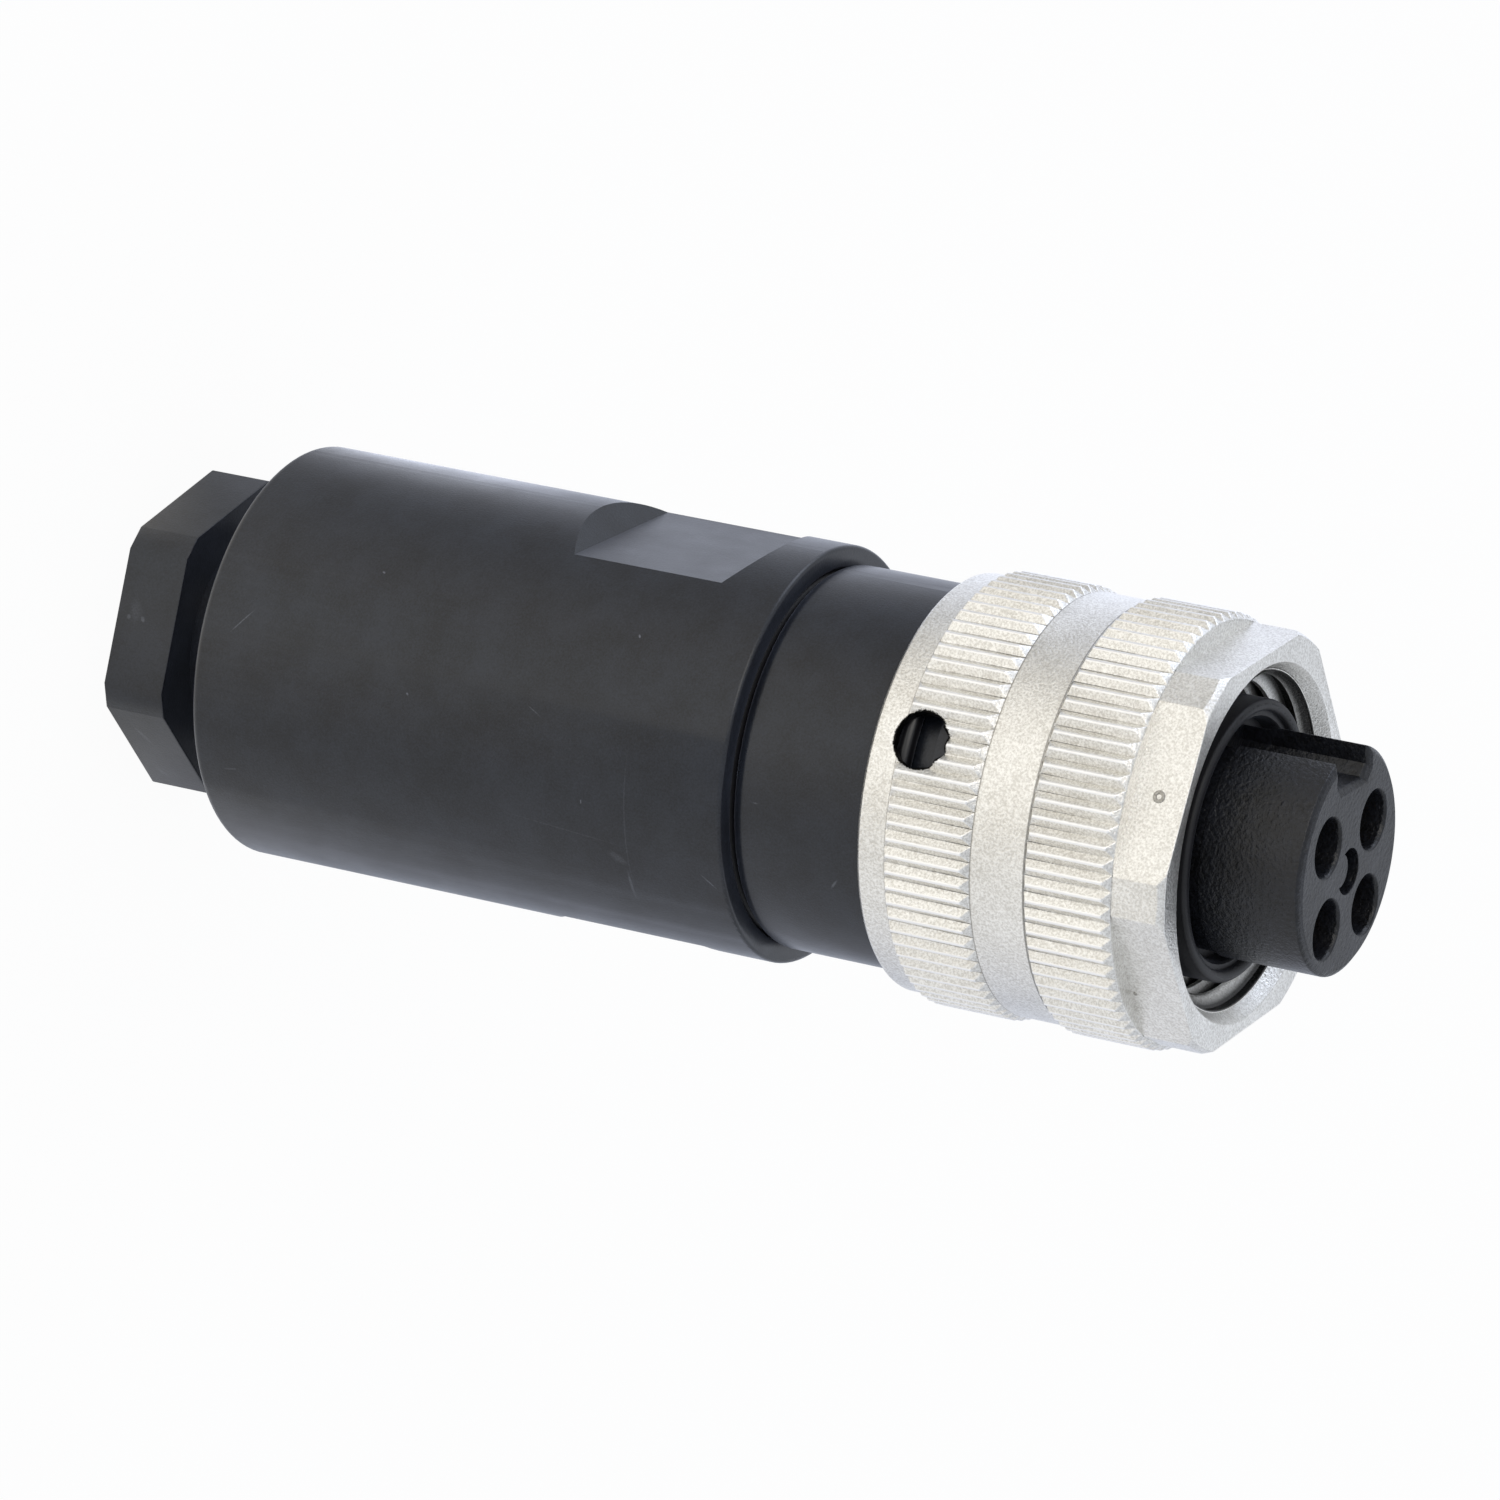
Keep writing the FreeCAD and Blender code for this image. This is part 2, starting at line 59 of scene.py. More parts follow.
def linear(code: str) -> tuple[float, float, float, float]:
    """Turn an sRGB hex colour to linear light.

    Args:
        code: Colour as "#rrggbb".

    Returns:
        Linear red, green and blue with an alpha of 1.
    """
    parts = [int(code[i:i + 2], 16) / 255 for i in (1, 3, 5)]
    red, green, blue = [c / 12.92 if c <= 0.04045 else ((c + 0.055) / 1.055) ** 2.4 for c in parts]
    return red, green, blue, 1.0


def per_metre(size: float) -> float:
    """Texture scale that gives features of a size in millimetres."""
    return 1 / (size * MM)


def outward(turn: float) -> Vector:
    """Direction square to the axis at a turn in degrees from -Y towards +X."""
    return Vector((math.sin(math.radians(turn)), -math.cos(math.radians(turn)), 0))


def add_node(tree: bpy.types.NodeTree, kind: str, inputs: dict[int | str, Any] | None = None,
             **attributes: Any) -> bpy.types.Node:
    """Add a shader node with its settings and links.

    Args:
        tree: Node tree that gets the node.
        kind: Node type.
        inputs: Value or output socket for each input, by name or number.
        attributes: Settings of the node itself.

    Returns:
        The new node.
    """
    node = tree.nodes.new(kind)
    for name, value in attributes.items():
        setattr(node, name, value)
    for key, value in (inputs or {}).items():
        if isinstance(value, bpy.types.NodeSocket):
            tree.links.new(value, node.inputs[key])
        else:
            node.inputs[key].default_value = value
    return node


def new_material(name: str) -> tuple[bpy.types.Material, bpy.types.NodeTree, bpy.types.Node]:
    """Start a material with a Principled shader.

    Args:
        name: Name of the finish.

    Returns:
        The material, its node tree and its shader node.
    """
    material = bpy.data.materials.new(name)
    material.use_nodes = True
    tree = material.node_tree
    return material, tree, tree.nodes["Principled BSDF"]


def looks_along(face: bmesh.types.BMFace, ways: tuple[Vector, ...]) -> bool:
    """Tell whether a face looks along one of some directions."""
    return any(face.normal.dot(way) > 0.9998 for way in ways)


def lies_across(face: bmesh.types.BMFace) -> bool:
    """Tell whether a face lies across the connector's axis."""
    return abs(face.normal.z) >= 0.999


def finished_object(bm: bmesh.types.BMesh, name: str, material: bpy.types.Material, sharp: float = 38.0,
                    crisp: tuple[Vector, ...] = (), weighted: bool = True) -> bpy.types.Object:
    """Turn a bmesh to an object with a material and smooth shading.

    Args:
        bm: Shape in metres, which is freed.
        name: Name of the piece.
        material: Its finish.
        sharp: Degrees between faces from which an edge stays sharp.
        crisp: Directions of flats whose outline stays sharp.
        weighted: Whether large flat faces keep their own direction, so that only roundings shade smoothly.

    Returns:
        The new object, linked to the scene.
    """
    for edge in bm.edges:
        flats = [looks_along(face, crisp) for face in edge.link_faces]
        outline = any(flats) and not all(flats)
        edge.smooth = not outline and len(flats) == 2 and edge.calc_face_angle() < math.radians(sharp)
    mesh = bpy.data.meshes.new(name)
    bm.to_mesh(mesh)
    bm.free()
    mesh.materials.append(material)
    mesh.polygons.foreach_set("use_smooth", [True] * len(mesh.polygons))
    piece = bpy.data.objects.new(name, mesh)
    bpy.context.scene.collection.objects.link(piece)
    if weighted:
        piece.modifiers.new("weighted_normals", "WEIGHTED_NORMAL").keep_sharp = True
    return piece


def merged_copy(node: str, weld: float = 0.002, flat: float = 0.6,
                join_ends: bool = True) -> bmesh.types.BMesh:
    """Copy a node's mesh with its doubles merged and its flat faces joined.

    Args:
        node: Name of the CAD node.
        weld: Distance in millimetres below which vertices are merged.
        flat: Degrees below which neighbouring faces are joined.
        join_ends: Whether faces across the axis are joined too. Where their outline has hundreds of corners,
            as at the knurled bands, one large face is later split wrongly, so they stay small.

    Returns:
        The copy, in the frame of the connector.
    """
    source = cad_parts[node]
    bm = bmesh.new()
    bm.from_mesh(source.data)
    bm.transform(source.matrix_world)
    bmesh.ops.remove_doubles(bm, verts=bm.verts, dist=weld * MM)
    bm.normal_update()
    edges = [edge for edge in bm.edges if join_ends or not all(map(lies_across, edge.link_faces))]
    verts = [vert for vert in bm.verts if join_ends or not any(map(lies_across, vert.link_faces))]
    bmesh.ops.dissolve_limit(bm, angle_limit=math.radians(flat), use_dissolve_boundaries=False,
                             verts=verts, edges=edges)
    for face in bm.faces:
        face.material_index = 0
    return bm


def soften(bm: bmesh.types.BMesh, width: float, over: float = 52.0, segments: int = 2) -> None:
    """Round the convex edges of a shape.

    Args:
        bm: Shape to change.
        width: Width of the rounding in millimetres.
        over: Degrees between faces from which an edge is rounded.
        segments: Faces across the rounding.
    """
    limit = math.radians(over)
    edges = [e for e in bm.edges if len(e.link_faces) == 2 and e.is_convex and e.calc_face_angle() > limit]
    bmesh.ops.bevel(bm, geom=edges, offset=width * MM, offset_type="OFFSET", segments=segments,
                    profile=0.5, affect="EDGES", clamp_overlap=False, material=-1)


@dataclass(frozen=True)
class RadialHole:
    """Hole through the rear band of the coupling nut: radius and height in mm, turn in degrees."""

    radius: float = 1.85
    turn: float = -9.1
    height: float = 62.06


@dataclass(frozen=True)
class CastNickel:
    """Satin nickel plate on a zinc die casting: bright, slightly warm, with the mould's fine grain.

    The knurl's crests get a painted highlight. Painted shade, partly dirt, darkens the corners of its bands,
    and painted shade darkens the root of the thread and the wall of the radial hole.
    """

    name: str = "satin_nickel_on_die_cast_zinc"
    light: str = "#fffefa"
    dull: str = "#cbc8c1"
    # Painted shade, partly dirt, in the corners of the bands.
    corner_shade_and_dirt: str = "#6d6a66"
    # Painted shade in the thread's root and on the wall of the radial hole.
    black: str = "#151413"
    # Painted highlight on the knurl's crests.
    crest_highlight: str = "#ffffff"
    roughness: float = 0.33
    roughness_spread: tuple[float, float] = (-0.04, 0.05)
    # The real grain is near 0.05 mm, too fine for the picture, so it is drawn three times as coarse.
    grain: float = 0.16
    grain_height: float = 0.05
    # Part of the grain's noise that turns dull metal bright, and how much grain and stains add.
    grain_range: tuple[float, float] = (0.38, 0.62)
    grain_share: float = 0.65
    stain: float = 2.4
    stain_share: float = 0.5
    # Heights (mm) of the corners with painted shade and dirt, and how dark it is.
    corners: tuple[tuple[float, float], ...] = ((60.66, 0.9), (66.82, 0.7), (70.6, 0.9))
    corner_width: float = 0.16
    corner_r: float = 13.7
    # From this radius the crests get the painted highlight, fading in over crest_fade.
    crest_r: float = 14.37
    crest_fade: float = 0.04
    thread_crest_r: float = 10.45
    thread_root_r: float = 10.95
    # How dark the painted shade in the thread's root is, and how far past its radius it still counts.
    thread_shade: float = 0.92
    thread_reach: float = 0.25
    hole: RadialHole = RadialHole()
    # The painted shade on the hole's wall comes this far out over its rim, by noise this strong, and fades
    # this fast.
    hole_rim: float = 0.1
    hole_noise: float = 0.4
    hole_fade: float = 0.06

    def corner_shade_mask(self, tree: bpy.types.NodeTree, height: bpy.types.NodeSocket,
                    radius: bpy.types.NodeSocket) -> bpy.types.NodeSocket:
        """Mask the painted shade lines, partly dirt, in the corners of the bands.

        Args:
            tree: Node tree of the material.
            height: Height along the axis.
            radius: Distance from the axis.

        Returns:
            Socket with the strength of the lines at each point.
        """
        total = None
        for middle, strength in self.corners:
            away = add_node(tree, "ShaderNodeMath", {0: height, 1: middle * MM}, operation="SUBTRACT")
            away = add_node(tree, "ShaderNodeMath", {0: away.outputs[0]}, operation="ABSOLUTE")
            line = add_node(tree, "ShaderNodeMapRange", {0: away.outputs[0], 1: self.corner_width / 2 * MM,
                                                         2: 0.0, 4: strength})
            inputs = {0: line.outputs[0], 1: 0.0 if total is None else total}
            total = add_node(tree, "ShaderNodeMath", inputs, operation="ADD").outputs[0]
        outside = add_node(tree, "ShaderNodeMath", {0: radius, 1: self.corner_r * MM},
                           operation="GREATER_THAN")
        return add_node(tree, "ShaderNodeMath", {0: total, 1: outside.outputs[0]},
                        operation="MULTIPLY").outputs[0]

    def crest_highlight_mask(self, tree: bpy.types.NodeTree, radius: bpy.types.NodeSocket) -> bpy.types.NodeSocket:
        """Mask the crests of the knurl, which get a painted highlight.

        Args:
            tree: Node tree of the material.
            radius: Distance from the axis.

        Returns:
            Socket that is 1 on the crests.
        """
        return add_node(tree, "ShaderNodeMapRange", {0: radius, 1: (self.crest_r - self.crest_fade) * MM,
                                                     2: self.crest_r * MM}).outputs[0]

    def root_shade_mask(self, tree: bpy.types.NodeTree, radius: bpy.types.NodeSocket) -> bpy.types.NodeSocket:
        """Mask the painted shade in the root of the internal thread, darker the deeper it lies.

        Args:
            tree: Node tree of the material.
            radius: Distance from the axis.

        Returns:
            Socket with the strength of the painted shade at each point.
        """
        depth = add_node(tree, "ShaderNodeMapRange", {0: radius, 1: self.thread_crest_r * MM,
                                                      2: self.thread_root_r * MM, 4: self.thread_shade})
        inside = add_node(tree, "ShaderNodeMath", {0: radius,
                                                   1: (self.thread_root_r + self.thread_reach) * MM},
                          operation="LESS_THAN")
        return add_node(tree, "ShaderNodeMath", {0: depth.outputs[0], 1: inside.outputs[0]},
                        operation="MULTIPLY").outputs[0]

    def hole_shade_mask(self, tree: bpy.types.NodeTree, place: bpy.types.NodeSocket,
                  ragged: bpy.types.NodeSocket) -> bpy.types.NodeSocket:
        """Mask the painted shade on the wall of the radial hole and its ragged dark rim.

        Args:
            tree: Node tree of the material.
            place: Object coordinates.
            ragged: Noise that breaks up the rim.

        Returns:
            Socket that is 1 on the wall.
        """
        local = add_node(tree, "ShaderNodeMapping", {"Vector": place,
                                                     "Location": (0, 0, -self.hole.height * MM),
                                                     "Rotation": (0, 0, -math.radians(self.hole.turn))})
        axes = add_node(tree, "ShaderNodeSeparateXYZ", {0: local.outputs[0]})
        side = add_node(tree, "ShaderNodeCombineXYZ", {0: axes.outputs["X"], 2: axes.outputs["Z"]})
        reach = add_node(tree, "ShaderNodeVectorMath", {0: side.outputs[0]}, operation="LENGTH")
        reach = add_node(tree, "ShaderNodeMath", {0: ragged, 1: -self.hole_noise * MM,
                                                  2: reach.outputs["Value"]}, operation="MULTIPLY_ADD")
        edge = (self.hole.radius + self.hole_rim - self.hole_noise / 2) * MM
        wall = add_node(tree, "ShaderNodeMapRange", {0: reach.outputs[0], 1: edge + self.hole_fade * MM,
                                                     2: edge})
        front = add_node(tree, "ShaderNodeMath", {0: axes.outputs["Y"], 1: 0.0}, operation="LESS_THAN")
        return add_node(tree, "ShaderNodeMath", {0: wall.outputs[0], 1: front.outputs[0]},
                        operation="MULTIPLY").outputs[0]

    def material(self) -> bpy.types.Material:
        """Build the material."""
        material, tree, shader = new_material(self.name)
        place = add_node(tree, "ShaderNodeTexCoord").outputs["Object"]
        grain = add_node(tree, "ShaderNodeTexNoise", {"Vector": place, "Scale": per_metre(self.grain),
                                                      "Detail": 3.0, "Roughness": 0.6}).outputs["Fac"]
        stain = add_node(tree, "ShaderNodeTexNoise", {"Vector": place, "Scale": per_metre(self.stain),
                                                      "Detail": 2.0}).outputs["Fac"]
        axes = add_node(tree, "ShaderNodeSeparateXYZ", {0: place})
        flat = add_node(tree, "ShaderNodeCombineXYZ", {0: axes.outputs["X"], 1: axes.outputs["Y"]})
        radius = add_node(tree, "ShaderNodeVectorMath", {0: flat.outputs[0]},
                          operation="LENGTH").outputs["Value"]
        speck = add_node(tree, "ShaderNodeMapRange", {0: grain, 1: self.grain_range[0],
                                                      2: self.grain_range[1]})
        blend = add_node(tree, "ShaderNodeMath", {0: speck.outputs[0], 1: self.grain_share},
                         operation="MULTIPLY")
        blend = add_node(tree, "ShaderNodeMath", {0: stain, 1: self.stain_share, 2: blend.outputs[0]},
                         operation="MULTIPLY_ADD")
        colour = add_node(tree, "ShaderNodeMix", {0: blend.outputs[0], 6: linear(self.dull),
                                                  7: linear(self.light)}, data_type="RGBA").outputs[2]
        # Painted highlight on the crests; painted shade, partly dirt, in the band corners; painted shade in
        # the thread root and radial hole.
        layers = ((self.crest_highlight_mask(tree, radius), self.crest_highlight),
                  (self.corner_shade_mask(tree, axes.outputs["Z"], radius), self.corner_shade_and_dirt),
                  (self.root_shade_mask(tree, radius), self.black),
                  (self.hole_shade_mask(tree, place, grain), self.black))
        for mask, paint in layers:
            colour = add_node(tree, "ShaderNodeMix", {0: mask, 6: colour, 7: linear(paint)},
                              data_type="RGBA").outputs[2]
        less, more = self.roughness_spread
        rough = add_node(tree, "ShaderNodeMapRange", {0: stain, 1: NOISE_LOW, 2: NOISE_HIGH,
                                                      3: self.roughness + less, 4: self.roughness + more})
        bump = add_node(tree, "ShaderNodeBump", {"Height": grain, "Strength": 1.0,
                                                 "Distance": self.grain_height * MM})
        tree.links.new(colour, shader.inputs["Base Color"])
        tree.links.new(rough.outputs[0], shader.inputs["Roughness"])
        tree.links.new(bump.outputs[0], shader.inputs["Normal"])
        shader.inputs["Metallic"].default_value = 1.0
        return material


@dataclass(frozen=True)
class BrokenGate(CastNickel):
    """Plated stub where the sprue broke off the casting: greyer and rougher than the skin around it."""

    name: str = "broken_gate_on_die_cast_zinc"
    light: str = "#c4c1ba"
    dull: str = "#8d8a84"
    roughness: float = 0.45


@dataclass(frozen=True)
class Mark:
    """A faint scratch or scuff on a round part, fading out from its middle to its ends.

    Its middle lies at an angle around the axis (degrees) and a height (mm); its length runs at a slant
    from the axis towards growing angles (degrees).
    """

    angle: float
    height: float
    slant: float
    length: float
    width: float
    strength: float


@dataclass(frozen=True)
class MouldedPolymer:
    """Moulded or extruded polymer: an eroded or drawn skin with fine grain and faint flow marks."""

    name: str
    dark: str
    light: str
    roughness: float = 0.5
    roughness_spread: float = 0.03
    # Spark-eroded grain is near 0.03 mm, so it is drawn several times as coarse to show.
    grain: float = 0.14
    grain_height: float = 0.012
    flow: float = 3.5
    # Sums of the two noises at which the colour is all dark and all light.
    mottle: tuple[float, float] = (0.75, 1.25)
    # Dust and the eroded skin scatter light at glancing angles.
    sheen: float = 0.14
    sheen_tint: str = "#dbe4ff"
    sheen_roughness: float = 0.35
    specular: float = 0.5
    # Radius (mm) of the surface that carries the marks, and the share of a mark that is at full strength.
    radius: float = 14.0
    marks: tuple[Mark, ...] = ()
    mark_colour: str = "#7d8088"
    mark_core: float = 0.2

    def mark_mask(self, tree: bpy.types.NodeTree, place: bpy.types.NodeSocket) -> bpy.types.NodeSocket:
        """Add up the masks of all marks.

        Args:
            tree: Node tree of the material.
            place: Object coordinates.

        Returns:
            Socket with the strength of the marks at each point.
        """
        axes = add_node(tree, "ShaderNodeSeparateXYZ", {0: place})
        front = add_node(tree, "ShaderNodeMath", {0: axes.outputs["Y"], 1: -1.0}, operation="MULTIPLY")
        angle = add_node(tree, "ShaderNodeMath", {0: axes.outputs["X"], 1: front.outputs[0]},
                         operation="ARCTAN2")
        girth = add_node(tree, "ShaderNodeMath", {0: angle.outputs[0], 1: self.radius * MM},
                         operation="MULTIPLY")
        sheet = add_node(tree, "ShaderNodeCombineXYZ", {0: axes.outputs["Z"], 1: girth.outputs[0]})
        total = None
        for mark in self.marks:
            middle = (mark.height * MM, math.radians(mark.angle) * self.radius * MM, 0)
            half = (mark.length / 2 * MM, mark.width / 2 * MM, 1)
            local = add_node(tree, "ShaderNodeMapping", {"Vector": sheet.outputs[0], "Location": middle,
                                                         "Rotation": (0, 0, math.radians(mark.slant)),
                                                         "Scale": half}, vector_type="TEXTURE")
            reach = add_node(tree, "ShaderNodeVectorMath", {0: local.outputs[0]}, operation="LENGTH")
            mask = add_node(tree, "ShaderNodeMapRange", {0: reach.outputs["Value"], 1: 1.0,
                                                         2: self.mark_core},
                            interpolation_type="SMOOTHSTEP")
            inputs = {0: mask.outputs[0], 1: mark.strength, 2: 0.0 if total is None else total}
            total = add_node(tree, "ShaderNodeMath", inputs, operation="MULTIPLY_ADD").outputs[0]
        return total

    def material(self) -> bpy.types.Material:
        """Build the material."""
        material, tree, shader = new_material(self.name)
        place = add_node(tree, "ShaderNodeTexCoord").outputs["Object"]
        grain = add_node(tree, "ShaderNodeTexNoise", {"Vector": place, "Scale": per_metre(self.grain),
                                                      "Detail": 2.0, "Roughness": 0.6}).outputs["Fac"]
        flow = add_node(tree, "ShaderNodeTexNoise", {"Vector": place, "Scale": per_metre(self.flow),
                                                     "Detail": 4.0, "Roughness": 0.62}).outputs["Fac"]
        uneven = add_node(tree, "ShaderNodeMath", {0: grain, 1: flow}, operation="ADD")
        mixed = add_node(tree, "ShaderNodeMapRange", {0: uneven.outputs[0], 1: self.mottle[0],
                                                      2: self.mottle[1]})
        colour = add_node(tree, "ShaderNodeMix", {0: mixed.outputs[0], 6: linear(self.dark),
                                                  7: linear(self.light)}, data_type="RGBA").outputs[2]
        if self.marks:
            broken = add_node(tree, "ShaderNodeMath", {0: self.mark_mask(tree, place), 1: grain},
                              operation="MULTIPLY")
            colour = add_node(tree, "ShaderNodeMix", {0: broken.outputs[0], 6: colour,
                                                      7: linear(self.mark_colour)},
                              data_type="RGBA").outputs[2]
        rough = add_node(tree, "ShaderNodeMapRange", {0: flow, 1: NOISE_LOW, 2: NOISE_HIGH,
                                                      3: self.roughness + self.roughness_spread,
                                                      4: self.roughness - self.roughness_spread})
        bump = add_node(tree, "ShaderNodeBump", {"Height": grain, "Strength": 1.0,
                                                 "Distance": self.grain_height * MM})
        tree.links.new(colour, shader.inputs["Base Color"])
        tree.links.new(rough.outputs[0], shader.inputs["Roughness"])
        tree.links.new(bump.outputs[0], shader.inputs["Normal"])
        shader.inputs["Specular IOR Level"].default_value = self.specular
        shader.inputs["Sheen Weight"].default_value = self.sheen
        shader.inputs["Sheen Roughness"].default_value = self.sheen_roughness
        shader.inputs["Sheen Tint"].default_value = linear(self.sheen_tint)
        return material


@dataclass(frozen=True)
class MattPolyamide(MouldedPolymer):
    """Black polyamide moulded for the grip: matt charcoal, with specks and scratches from handling."""

    name: str = "matt_moulded_polyamide"
    dark: str = "#101218"
    light: str = "#23272f"
    roughness: float = 0.33
    marks: tuple[Mark, ...] = (
        Mark(-4.5, 11.9, -51, 2.7, 0.14, 0.7), Mark(30.0, 41.7, 90, 13.5, 0.16, 0.16),
        Mark(35.2, 37.0, 5, 11.0, 0.14, 0.14), Mark(41.0, 40.9, 30, 2.0, 0.9, 0.22),
        Mark(50.0, 41.5, 90, 3.4, 0.3, 0.4), Mark(42.8, 47.6, 43, 1.9, 0.2, 0.5),
        Mark(-21.9, 40.5, 60, 0.4, 0.2, 1.2), Mark(-25.7, 20.9, 20, 0.35, 0.2, 1.0),
        Mark(6.0, 25.1, 40, 0.3, 0.2, 0.9), Mark(25.7, 38.5, 90, 0.4, 0.15, 0.8),
        Mark(3.6, 34.5, 28, 1.6, 0.12, 0.35), Mark(38.4, 11.6, -10, 1.5, 0.2, 0.3))


@dataclass(frozen=True)
class SatinPolyamide(MouldedPolymer):
    """Black polyamide moulded for the sleeve: a shade smoother than the grip, with two small nicks."""

    name: str = "satin_moulded_polyamide"
    dark: str = "#0f1117"
    light: str = "#22262e"
    roughness: float = 0.30
    radius: float = 12.85
    marks: tuple[Mark, ...] = (Mark(38.5, 56.3, -55, 1.1, 0.25, 0.6), Mark(17.6, 50.7, 0, 0.6, 0.15, 0.4))


@dataclass(frozen=True)
class GlandPolyamide(MouldedPolymer):
    """Black polyamide moulded for the gland: matt and slightly greyer, rubbed on its flats by a spanner."""

    name: str = "gland_moulded_polyamide"
    dark: str = "#13161c"
    light: str = "#252931"
    roughness: float = 0.34
    radius: float = 10.0
    marks: tuple[Mark, ...] = (
        Mark(0.7, 0.95, 70, 0.5, 0.4, 0.5), Mark(0.7, 2.05, 60, 0.55, 0.4, 0.7),
        Mark(-2.0, 1.4, 80, 2.2, 1.2, 0.2), Mark(52.0, 1.8, 70, 2.8, 0.5, 0.3),
        Mark(78.0, 1.5, 50, 1.6, 0.4, 0.3))


@dataclass(frozen=True)
class ErodedInsulator(MouldedPolymer):
    """Insulator moulded in a spark-eroded cavity: deep black with a coarse sparkling grain."""

    name: str = "spark_eroded_insulator"
    dark: str = "#040405"
    light: str = "#1a1c22"
    roughness: float = 0.36
    grain: float = 0.3
    grain_height: float = 0.08
    sheen: float = 0.03
    specular: float = 0.45


@dataclass(frozen=True)
class NitrileRubber(MouldedPolymer):
    """Compression-moulded nitrile rubber: dull black with soft, wide highlights."""

    name: str = "moulded_nitrile_rubber"
    dark: str = "#0d0d10"
    light: str = "#17171b"
    sheen: float = 0.05
    specular: float = 0.4


@dataclass(frozen=True)
class BlackAcetal(MouldedPolymer):
    """Snap ring of extruded acetal: smooth and slightly waxy black."""

    name: str = "extruded_black_acetal"
    dark: str = "#111113"
    light: str = "#151518"
    roughness: float = 0.3
    grain_height: float = 0.001


@dataclass(frozen=True)
class GreyPolyamide(MouldedPolymer):
    """Natural grey polyamide of the clamping parts: even and matt."""

    name: str = "moulded_grey_polyamide"
    dark: str = "#84878a"
    light: str = "#8e9194"


@dataclass(frozen=True)
class TurnedMetal:
    """Turned and plated metal: fine turning lines around its own axis."""

    name: str
    colour: str
    roughness: float
    # Turning lines are near 0.1 mm apart, too fine for the picture, so they are drawn wider.
    pitch: float = 0.754
    line_height: float = 0.004

    def material(self) -> bpy.types.Material:
        """Build the material."""
        material, tree, shader = new_material(self.name)
        place = add_node(tree, "ShaderNodeTexCoord").outputs["Object"]
        # The wave texture repeats each 2 pi / 20 of its scaled place.
        scale = 2 * math.pi / 20 * per_metre(self.pitch)
        lines = add_node(tree, "ShaderNodeTexWave", {"Vector": place, "Scale": scale, "Distortion": 1.5,
                                                     "Detail": 2.0},
                         wave_type="BANDS", bands_direction="Z")
        bump = add_node(tree, "ShaderNodeBump", {"Height": lines.outputs["Fac"], "Strength": 0.4,
                                                 "Distance": self.line_height * MM})
        tree.links.new(bump.outputs[0], shader.inputs["Normal"])
        shader.inputs["Base Color"].default_value = linear(self.colour)
        shader.inputs["Metallic"].default_value = 1.0
        shader.inputs["Roughness"].default_value = self.roughness
        return material


@dataclass(frozen=True)
class GoldFlashedBrass(TurnedMetal):
    """Turned brass with a gold flash: warm yellow, bright inside the contact holes."""

    name: str = "gold_flashed_turned_brass"
    colour: str = "#d9b36a"
    roughness: float = 0.24


@dataclass(frozen=True)
class ZincPlatedSteel(TurnedMetal):
    """Turned steel with a clear zinc plate: cool light grey."""

    name: str = "zinc_plated_turned_steel"
    colour: str = "#c9ccd0"
    roughness: float = 0.3


@dataclass
class ScrewThread:
    """Ridge of a screw thread, run out into its wall at both ends. Sizes in millimetres."""

    wall_r: float
    crest_r: float
    pitch: float
    low: float
    high: float
    # Widths of the ridge's base and crest and the length of its run-out, as shares of the pitch.
    base_share: float = 0.8
    crest_share: float = 0.2
    fade_share: float = 0.6
    steps: int = 72

    def shape(self) -> bmesh.types.BMesh:
        """Sweep the thread's section along its helix."""
        bm = bmesh.new()
        base = self.pitch * self.base_share / 2
        crest = self.pitch * self.crest_share / 2
        section = [(self.wall_r, -base), (self.crest_r, -crest), (self.crest_r, crest), (self.wall_r, base)]
        verts = [bm.verts.new((r * MM, 0, (self.low + z) * MM)) for r, z in section]
        face = bm.faces.new(verts)
        turns = (self.high - self.low) / self.pitch
        steps = round(turns * self.steps)
        bmesh.ops.spin(bm, geom=[face] + list(face.edges) + verts, cent=(0, 0, 0), axis=(0, 0, 1),
                       dvec=(0, 0, (self.high - self.low) * MM / steps), angle=2 * math.pi * turns,
                       steps=steps, use_merge=False, use_duplicate=False)
        fade = self.pitch * self.fade_share
        for vert in bm.verts:
            radius = vert.co.xy.length / MM
            height = vert.co.z / MM
            share = min(1.0, max(0.0, min(height - self.low, self.high - height) / fade))
            target = self.wall_r + (radius - self.wall_r) * share
            vert.co.xy *= target / radius
        bmesh.ops.recalc_face_normals(bm, faces=bm.faces)
        if bm.calc_volume(signed=True) < 0:
            bmesh.ops.reverse_faces(bm, faces=bm.faces)
        return bm


